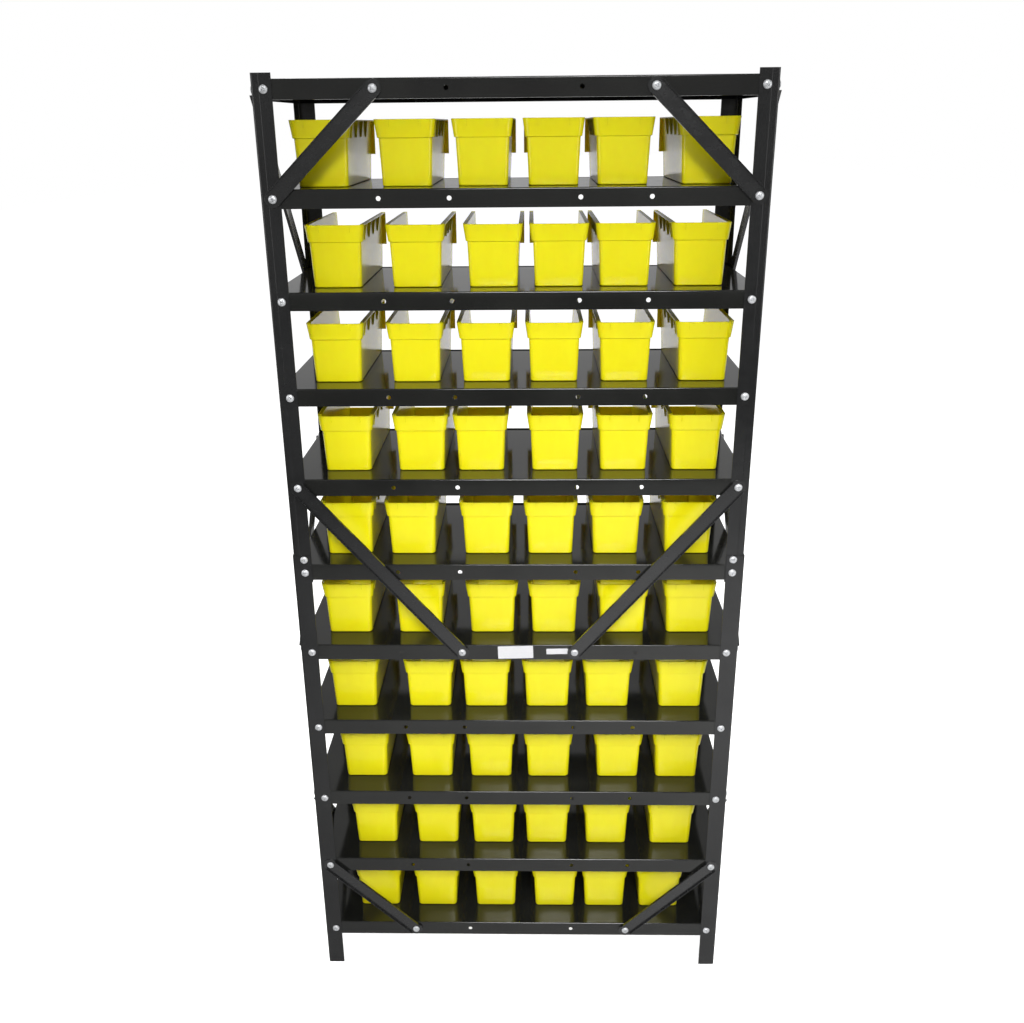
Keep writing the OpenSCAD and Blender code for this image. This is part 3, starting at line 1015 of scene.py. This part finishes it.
# %% The nut and the shank
def nut_mesh():
    """Hexagon with turned corners: the common part of a hexagon and a turned barrel."""
    across_corners = NUT_AF / math.cos(math.pi / 6) / 2
    barrel = add_object("nut", spun([
        (0, 0), (NUT_AF / 2 * 0.97, 0), (across_corners, NUT_CHAMFER),
        (across_corners, NUT_H - NUT_CHAMFER), (NUT_AF / 2 * 0.97, NUT_H), (0, NUT_H),
    ], 36, "nut"))
    bm = bmesh.new()
    bmesh.ops.create_cone(bm, cap_ends=True, segments=6, radius1=across_corners,
                          radius2=across_corners, depth=3 * NUT_H)
    hexagon = add_object("hexagon", mesh_from(bm, "hexagon", zinc))
    cut = barrel.modifiers.new("flats", "BOOLEAN")
    cut.object = hexagon
    cut.operation = "INTERSECT"
    cut.solver = "EXACT"
    mesh = baked(barrel, "nut")
    bpy.data.objects.remove(hexagon)
    smooth_below(mesh, 30)
    return mesh


def shank_mesh():
    """A shank of unit length, pointing down from the seat."""
    r = SHANK_D / 2
    return spun([(0, 0), (r, 0), (r, -0.96), (r * 0.85, -1.0), (0, -1.0)], 16, "shank")


# %% Fastener tree
def fastener_tree():
    tree, group_in, group_out = new_tree("fasteners", [
        ("Form", "NodeSocketObject", None),
        ("Sink", "NodeSocketFloat", 0.0),
        ("Stretch by length", "NodeSocketBool", False),
        ("Random turn", "NodeSocketFloat", 0.0),
        ("Seed", "NodeSocketInt", 7),
        ("Finish", "NodeSocketMaterial", None),
    ])
    form = tree.nodes.new("GeometryNodeObjectInfo")
    join(tree, group_in.outputs["Form"], form.inputs["Object"])
    facing = node(tree, "GeometryNodeInputNamedAttribute", data_type="FLOAT_VECTOR")
    facing.inputs["Name"].default_value = "facing"
    length = node(tree, "GeometryNodeInputNamedAttribute", data_type="FLOAT")
    length.inputs["Name"].default_value = "length"

    aim = tree.nodes.new("FunctionNodeAlignRotationToVector")
    aim.axis = "Z"
    join(tree, facing.outputs["Attribute"], aim.inputs["Vector"])
    chance = node(tree, "FunctionNodeRandomValue", data_type="FLOAT")
    join(tree, group_in.outputs["Random turn"], chance.inputs[3])
    join(tree, group_in.outputs["Seed"], chance.inputs["Seed"])
    spin = tree.nodes.new("ShaderNodeCombineXYZ")
    join(tree, chance.outputs[1], spin.inputs["Z"])

    stretch = tree.nodes.new("GeometryNodeSwitch")
    stretch.input_type = "FLOAT"
    stretch.inputs["False"].default_value = 1.0
    join(tree, group_in.outputs["Stretch by length"], stretch.inputs["Switch"])
    join(tree, length.outputs["Attribute"], stretch.inputs["True"])
    size = tree.nodes.new("ShaderNodeCombineXYZ")
    size.inputs["X"].default_value = 1.0
    size.inputs["Y"].default_value = 1.0
    join(tree, stretch.outputs["Output"], size.inputs["Z"])

    sunk = node(tree, "ShaderNodeVectorMath", operation="SCALE")
    join(tree, facing.outputs["Attribute"], sunk.inputs[0])
    join(tree, maths(tree, "MULTIPLY", group_in.outputs["Sink"], -1.0), sunk.inputs["Scale"])
    moved = tree.nodes.new("GeometryNodeSetPosition")
    join(tree, group_in.outputs["Geometry"], moved.inputs["Geometry"])
    join(tree, sunk.outputs[0], moved.inputs["Offset"])

    place = tree.nodes.new("GeometryNodeInstanceOnPoints")
    join(tree, moved.outputs["Geometry"], place.inputs["Points"])
    join(tree, form.outputs["Geometry"], place.inputs["Instance"])
    join(tree, aim.outputs["Rotation"], place.inputs["Rotation"])
    join(tree, size.outputs[0], place.inputs["Scale"])
    spun_instances = tree.nodes.new("GeometryNodeRotateInstances")
    join(tree, place.outputs["Instances"], spun_instances.inputs["Instances"])
    join(tree, spin.outputs[0], spun_instances.inputs["Rotation"])
    finish_tree(tree, group_in, group_out, spun_instances.outputs["Instances"])
    return tree


def bolt_points(name, places):
    """Points with a facing and a length. Adding an attribute can move the others in memory,
    so both are added first and then looked up by name."""
    mesh = point_cloud(name, [seat for seat, outward, below in places])
    mesh.attributes.new("facing", "FLOAT_VECTOR", "POINT")
    mesh.attributes.new("length", "FLOAT", "POINT")
    facing, length = mesh.attributes["facing"], mesh.attributes["length"]
    for i, (seat, outward, below) in enumerate(places):
        facing.data[i].vector = outward
        length.data[i].value = below
    return mesh


# %% Set the fasteners
def joined_meshes(name, meshes):
    bm = bmesh.new()
    for mesh in meshes:
        bm.from_mesh(mesh)
    return mesh_from(bm, name, zinc)


fasteners = fastener_tree()
head_form = add_object("head_form", bolt_head_mesh())
shank_form = add_object("shank_form", shank_mesh())
nut_form = add_object("nut_form", nut_mesh())
heads = run_tree(fasteners, bolt_points("head_points", bolts), "bolt_heads", {
    "Form": head_form, "Random turn": FULL_TURN, "Seed": 7, "Finish": zinc})
shanks = run_tree(fasteners, bolt_points("shank_points", bolts), "bolt_shanks", {
    "Form": shank_form, "Stretch by length": True, "Finish": zinc})
bolt_mesh = joined_meshes("bolts", [heads, shanks])
smooth_below(bolt_mesh, 40)
add_piece("domed_bolts", bolt_mesh, RACK, ["frame_bolts"])

nut_points = [(seat - outward * (below - TAIL), outward, below)
              for seat, outward, below in bolts]
nut_cloud = bolt_points("nut_points", nut_points)
nuts = run_tree(fasteners, nut_cloud, "nuts", {"Form": nut_form, "Finish": zinc})
smooth_below(nuts, 30)
add_piece("hex_nuts", nuts, RACK, ["frame_nuts"])
for form in (head_form, shank_form, nut_form):
    bpy.data.objects.remove(form)
print("bolts:", triangles(bolt_mesh), "triangles; nuts:", triangles(nuts), "triangles")

# %% [markdown]
# ## Two blank stickers
# The back lip of the sixth shelf carries two small white stickers. They are thin plates with
# rounded corners, laid flat on the lip and not quite straight.

# %% Stickers
STICKER_THICK = 0.12 * MM
lip_low, lip_high = corners("shelf_6")
lip_middle = (lip_low.z + lip_high.z) / 2


def sticker_mesh(name, x0, x1, height, lift, corner, tilt):
    bm = bmesh.new()
    points = []
    z0, z1 = lip_middle + lift - height / 2, lip_middle + lift + height / 2
    for cx, cz, first in ((x1 - corner, z1 - corner, 0), (x0 + corner, z1 - corner, 1),
                          (x0 + corner, z0 + corner, 2), (x1 - corner, z0 + corner, 3)):
        for i in range(5):
            a = math.pi / 2 * (first + i / 4)
            points.append((cx + corner * math.cos(a), cz + corner * math.sin(a)))
    middle = Vector(((x0 + x1) / 2, 0, (z0 + z1) / 2))
    face = bm.faces.new([bm.verts.new((x, lip_low.y, z)) for x, z in points])
    bmesh.ops.rotate(bm, verts=bm.verts, cent=middle, matrix=Matrix.Rotation(-tilt, 3, "Y"))
    grown = bmesh.ops.extrude_face_region(bm, geom=[face])
    for item in grown["geom"]:
        if isinstance(item, bmesh.types.BMVert):
            item.co.y -= STICKER_THICK
    bmesh.ops.recalc_face_normals(bm, faces=bm.faces)
    return mesh_from(bm, name, white_paper)


for name, x0, x1, height, lift, tilt in (
    ("sticker_wide", -40 * MM, 29 * MM, 27.0 * MM, 0.0, math.radians(1.5)),
    ("sticker_small", 55 * MM, 97 * MM, 12 * MM, 2 * MM, math.radians(1.0)),
):
    sticker = sticker_mesh(name, x0, x1, height, lift, 1.5 * MM, tilt)
    add_piece(name, sticker, RACK)

# %% [markdown]
# ## Floor and background
# The photograph has a pure white background. The floor is one large sheet. Seen straight it is
# white, by Light Path, and a plain diffuse part in the same mix keeps the soft shadow under the
# feet. The world is white to the camera.
# Glossy steel shows what stands round it. The posts and lips face the camera, so they mirror the
# floor before the rack. In reflections the floor is dim there, with one painted pool of light at
# the right: the floor glows there for reflected rays only, and no lamp lights it. So the posts go
# from black at the left to grey at the right. The decks mirror what is behind the rack: a
# backdrop at less than half of full white. The side walls of the upper bins mirror the white
# floor far behind the rack, so the floor runs much farther that way. All other rays, those that
# light the bins, meet a plain floor and an even, dim room.

# %% Floor
def seen_straight(tree):
    """1 for rays from the camera or through glass, else 0."""
    path = tree.nodes.new("ShaderNodeLightPath")
    return maths(tree, "MAXIMUM", path.outputs["Is Camera Ray"],
                 path.outputs["Is Transmission Ray"])


def floor_finish():
    """White to the camera. In reflections it is white behind the rack, and before it dim
    with one painted pool of light at the right: a glow that only reflections show."""
    finish = bpy.data.materials.new("floor_white")
    finish.use_nodes = True
    tree = finish.node_tree
    tree.nodes.clear()
    output = tree.nodes.new("ShaderNodeOutputMaterial")
    chalk = node(tree, "ShaderNodeBsdfDiffuse", Color=(0.8, 0.8, 0.8, 1))
    glow = node(tree, "ShaderNodeEmission", Color=(1, 1, 1, 1), Strength=0.85)
    both = tree.nodes.new("ShaderNodeAddShader")
    join(tree, chalk.outputs[0], both.inputs[0])
    join(tree, glow.outputs[0], both.inputs[1])

    place = tree.nodes.new("ShaderNodeTexCoord")
    away = node(tree, "ShaderNodeVectorMath", operation="DISTANCE")
    away.inputs[1].default_value = POOL_PLACE
    join(tree, place.outputs["Object"], away.inputs[0])
    # Painted reflection: a glowing pool on the floor at the right, seen only by reflected rays.
    painted_pool = remap(tree, away.outputs["Value"], 0.0, POOL_REACH, POOL_BRIGHT, POOL_DIM)
    behind = remap(tree, along(tree, place.outputs["Object"], "Y"), *WHITE_FROM, POOL_DIM, 1.0)
    pool = node(tree, "ShaderNodeEmission", Color=(1, 1, 1, 1))
    join(tree, maths(tree, "MAXIMUM", painted_pool, behind), pool.inputs["Strength"])

    path = tree.nodes.new("ShaderNodeLightPath")
    unseen = choose(tree, path.outputs["Is Glossy Ray"], chalk.outputs[0], pool.outputs[0])
    join(tree, choose(tree, seen_straight(tree), unseen, both.outputs[0]),
         output.inputs["Surface"])
    return finish


WHITE_FROM = (0.4, 1.4)
POOL_PLACE = (1.1, -1.5, 0)
POOL_REACH = 2.6
POOL_BRIGHT = 1.6
POOL_DIM = 0.15
FLOOR_HALF = 12.0
FLOOR_FAR = 60.0
bm = bmesh.new()
bmesh.ops.create_grid(bm, x_segments=1, y_segments=1, size=FLOOR_HALF)
for vert in bm.verts:
    if vert.co.y > 0:
        vert.co.y = FLOOR_FAR
floor = add_object("floor", mesh_from(bm, "floor", floor_finish()))

# %% World
BACKDROP = 0.45
DIM_ROOM = 0.36
FILL = 0.30
ROOM_TO_BACKDROP = (-0.35, 0.05)


def studio_world():
    world = bpy.data.worlds.new("studio")
    world.use_nodes = True
    tree = world.node_tree
    tree.nodes.clear()
    output = tree.nodes.new("ShaderNodeOutputWorld")
    toward = tree.nodes.new("ShaderNodeTexCoord")
    behind = along(tree, toward.outputs["Generated"], "Y")
    mirrored = node(tree, "ShaderNodeBackground", Color=(1, 1, 1, 1))
    join(tree, remap(tree, behind, *ROOM_TO_BACKDROP, DIM_ROOM, BACKDROP),
         mirrored.inputs["Strength"])
    soft = node(tree, "ShaderNodeBackground", Color=(1, 1, 1, 1), Strength=FILL)
    white = node(tree, "ShaderNodeBackground", Color=(1, 1, 1, 1), Strength=1.0)
    path = tree.nodes.new("ShaderNodeLightPath")
    room = choose(tree, path.outputs["Is Glossy Ray"], soft.outputs[0], mirrored.outputs[0])
    join(tree, choose(tree, seen_straight(tree), room, white.outputs[0]),
         output.inputs["Surface"])
    return world


bpy.context.scene.world = studio_world()


# %% [markdown]
# ## Lamps
# The key is a spot above and behind the camera. Its soft cone is brightest on the middle rows and
# falls off towards the top and the feet, as in the photograph. Two weak soft boxes at the sides
# lighten the shadows, and a large one high over the open front lights the insides of the bins.

# %% Lamps
def aimed(name, kind, place, target, watts):
    data = bpy.data.lights.new(name, kind)
    data.energy = watts
    lamp = add_object(name, data)
    lamp.location = place
    lamp.rotation_euler = (Vector(target) - Vector(place)).to_track_quat("-Z", "Y").to_euler()
    return data


def soft_box(name, place, target, wide, tall, watts):
    data = aimed(name, "AREA", place, target, watts)
    data.shape = "RECTANGLE"
    data.size = wide
    data.size_y = tall


key = aimed("key", "SPOT", (0.20, -2.9, 2.80), (0, 0, 0.62), 530)
key.shadow_soft_size = 0.6
key.spot_size = math.radians(44)
key.spot_blend = 1.0
middle = (0, 0, 1.0)
soft_box("side_right", (2.6, -1.6, 1.8), middle, 1.2, 1.8, 18)
soft_box("side_left", (-2.6, -1.6, 1.8), middle, 1.2, 1.8, 18)
soft_box("high_front", (0, 2.6, 4.2), middle, 2.4, 1.6, 110)
bpy.context.scene.view_settings.view_transform = "Standard"
